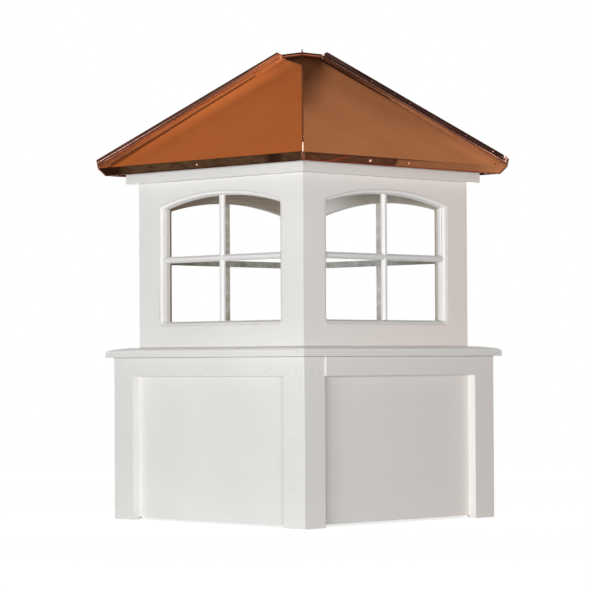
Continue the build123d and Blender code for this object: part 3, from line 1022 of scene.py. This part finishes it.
def opening_outline():
    """Points round a window's opening with the way out from it at each: [(point, outward), ...]."""
    sill = wall_low.z + OPENING_SILL
    spring = wall_low.z + ARCH_SPRING
    radius = (OPENING_HALF**2 + ARCH_RISE**2) / (2 * ARCH_RISE)
    middle = spring + ARCH_RISE - radius
    corner_across = OPENING_HALF - OPENING_CORNER
    arch_corner_up = middle + sqrt((radius - OPENING_CORNER) ** 2 - corner_across**2)
    swing = atan(corner_across / (arch_corner_up - middle))
    corner_steps = 6
    arch_steps = 48
    outline = []

    def arc(across, up, reach, start, stop, steps):
        for step in range(steps + 1):
            angle = start + (stop - start) * step / steps
            outward = Vector((cos(angle), 0, sin(angle)))
            outline.append((Vector((across, 0, up)) + reach * outward, outward))

    arc(corner_across, sill + OPENING_CORNER, OPENING_CORNER, -pi / 2, 0, corner_steps)
    arc(corner_across, arch_corner_up, OPENING_CORNER, 0, pi / 2 - swing, corner_steps)
    arc(0, middle, radius, pi / 2 - swing, pi / 2 + swing, arch_steps)
    arc(-corner_across, arch_corner_up, OPENING_CORNER, pi / 2 + swing, pi, corner_steps)
    arc(-corner_across, sill + OPENING_CORNER, OPENING_CORNER, pi, 3 * pi / 2, corner_steps)
    return outline


def bead_shade_lines():
    """Grey filler in the grooves round the bead of every window, as painted shade in them."""
    mesh = bmesh.new()
    shortest = 0.2 * MM
    for turn in range(4):
        for margin, depth, radius in BEAD_SHADE_LINES:
            points = []
            for point, outward in opening_outline():
                place = point + margin * outward
                place.y = wall_low.y + depth
                if not points or (place - points[-1]).length > shortest:
                    points.append(place)
            tube(mesh, [turned(turn) @ point for point in points], radius, closed=True)
    finish_piece("bead_shade_lines", mesh, SHADE_FILLER)


def wall_foot_shade_lines():
    """Grey filler along the foot of every wall, as a painted line of shade."""
    mesh = bmesh.new()
    outward = -wall_low.y
    height = wall_low.z + 0.4 * MM
    radius = 0.9 * MM
    points = [Vector((side * outward, -outward, height)) for side in (-1, 0, 1)]
    for turn in range(4):
        tube(mesh, [turned(turn) @ point for point in points], radius)
    finish_piece("wall_foot_shade_lines", mesh, SHADE_FILLER)


def ledge_shadow_lines():
    """A grey line of painted shadow in the joint under every ledge board, out over the right rail's
    proud end.
    """
    mesh = bmesh.new()
    outward = -post_low.y
    height = ledge_low.z - 0.6 * MM
    radius = 1.1 * MM
    end = rail_high.x
    for turn in range(4):
        proud = RAIL_PROUD if turn == 1 else 0.0
        path = ((-outward, 0.0), (-end - 1 * MM, 0.0), (-end, proud), (end, 0.0), (outward, 0.0))
        points = [Vector((across, -outward - lift, height)) for across, lift in path]
        tube(mesh, [turned(turn) @ point for point in points], radius)
    finish_piece("ledge_shadow_lines", mesh, LEDGE_SHADOW_GREY)


base_screws()
trim_screws()
hem_rods()
seam_rivets()
fascia_rivets()
panel_screws()
corner_tabs()
hip_aprons("wide_aprons", 1, WIDE_APRON, 0.7 * MM, COPPER_WIDE_APRON)
hip_aprons("narrow_aprons", -1, NARROW_APRON, 2.2 * MM, COPPER_NARROW_APRON)
apron_shadow_lines()
bead_shade_lines()
wall_foot_shade_lines()
ledge_shadow_lines()


# -------------------- light, stage and camera


WHITE = (1, 1, 1, 1)
FLOOR_SIZE = 60.0
FLOOR_GLOW = 0.73
# The floor turns white between these two distances from the axis.
WHITE_FROM = 2.0
WHITE_AT = 4.5
WORLD_LIGHT = 0.18


def stage_floor():
    """A pale floor that goes over into the white background and keeps the cupola's shadow."""
    bpy.ops.mesh.primitive_plane_add(size=FLOOR_SIZE, location=(0, 0, 0))
    floor = bpy.context.object
    floor.name = "studio_floor"
    material, tree = new_material("studio_floor_paint")
    paint = tree.add("ShaderNodeBsdfDiffuse", {"Color": colour(240, 240, 240)})
    glow = tree.add("ShaderNodeEmission", {"Color": WHITE, "Strength": FLOOR_GLOW})
    near = tree.add("ShaderNodeAddShader", {0: paint.outputs[0], 1: glow.outputs[0]})
    white = tree.add("ShaderNodeEmission", {"Color": WHITE, "Strength": 1.0})
    reach = tree.add("ShaderNodeVectorMath", {0: tree.position((1, 1, 1))}, operation="LENGTH")
    far = tree.rise(reach.outputs["Value"], WHITE_FROM, WHITE_AT)
    seen = tree.add("ShaderNodeMixShader", {0: far, 1: near.outputs[0], 2: white.outputs[0]})
    rays = seen_rays(tree)
    tree.show(tree.add("ShaderNodeMixShader", {0: rays, 1: paint.outputs[0], 2: seen.outputs[0]}))
    floor.data.materials.append(material)


def seen_rays(tree):
    """1 for rays that show a surface: from the camera, off a mirror or through glass."""
    path = tree.add("ShaderNodeLightPath")
    shown = tree.plus(path.outputs["Is Camera Ray"], path.outputs["Is Glossy Ray"])
    return tree.math("ADD", shown, path.outputs["Is Transmission Ray"], clamp=True)


def studio_world():
    """A white background, at a plain level as a light."""
    world = bpy.data.worlds.new("studio_world")
    bpy.context.scene.world = world
    tree = Tree(world, "ShaderNodeOutputWorld")
    strength = tree.remap(seen_rays(tree), 0.0, 1.0, WORLD_LIGHT, 1.0)
    tree.show(tree.add("ShaderNodeBackground", {"Color": WHITE, "Strength": strength}))


def soft_box(name, azimuth, power):
    """A wide, low, soft lamp that stands beside the cupola at an azimuth and looks at its axis."""
    distance = 9.0
    height = 0.7
    lamp = bpy.data.lights.new(name, "AREA")
    lamp.shape = "RECTANGLE"
    lamp.size = 8.0
    lamp.size_y = 1.4
    lamp.energy = power
    holder = bpy.data.objects.new(name, lamp)
    angle = radians(azimuth)
    place = Vector((sin(angle) * distance, -cos(angle) * distance, height))
    aim = Vector((0, 0, height)) - place
    holder.location = place
    holder.rotation_euler = aim.to_track_quat("-Z", "Y").to_euler()
    bpy.context.scene.collection.objects.link(holder)


def photo_camera():
    """The camera in front of the near corner, at the height of the base's top."""
    azimuth = radians(44.94)
    distance = 9.103
    height = 0.527
    pitch = radians(1.46)
    turn = radians(0.18)
    roll = radians(-0.30)
    aim = azimuth + turn
    forward = Vector((-sin(aim) * cos(pitch), cos(aim) * cos(pitch), sin(pitch)))
    level = Vector((cos(aim), sin(aim), 0))
    upward = level.cross(forward)
    across = cos(roll) * level + sin(roll) * upward
    upright = -sin(roll) * level + cos(roll) * upward
    data = bpy.data.cameras.new("photo_camera")
    data.sensor_width = 36.0
    data.lens = 162.9
    camera = bpy.data.objects.new("photo_camera", data)
    turned_axes = Matrix((across, upright, -forward)).transposed().to_4x4()
    place = Vector((sin(azimuth) * distance, -cos(azimuth) * distance, height))
    camera.matrix_world = Matrix.Translation(place) @ turned_axes
    bpy.context.scene.collection.objects.link(camera)
    bpy.context.scene.camera = camera


stage_floor()
studio_world()
soft_box("front_softbox", azimuth=34.5, power=695)
soft_box("back_softbox", azimuth=214.5, power=570)
photo_camera()

bpy.context.scene.view_settings.view_transform = "Standard"
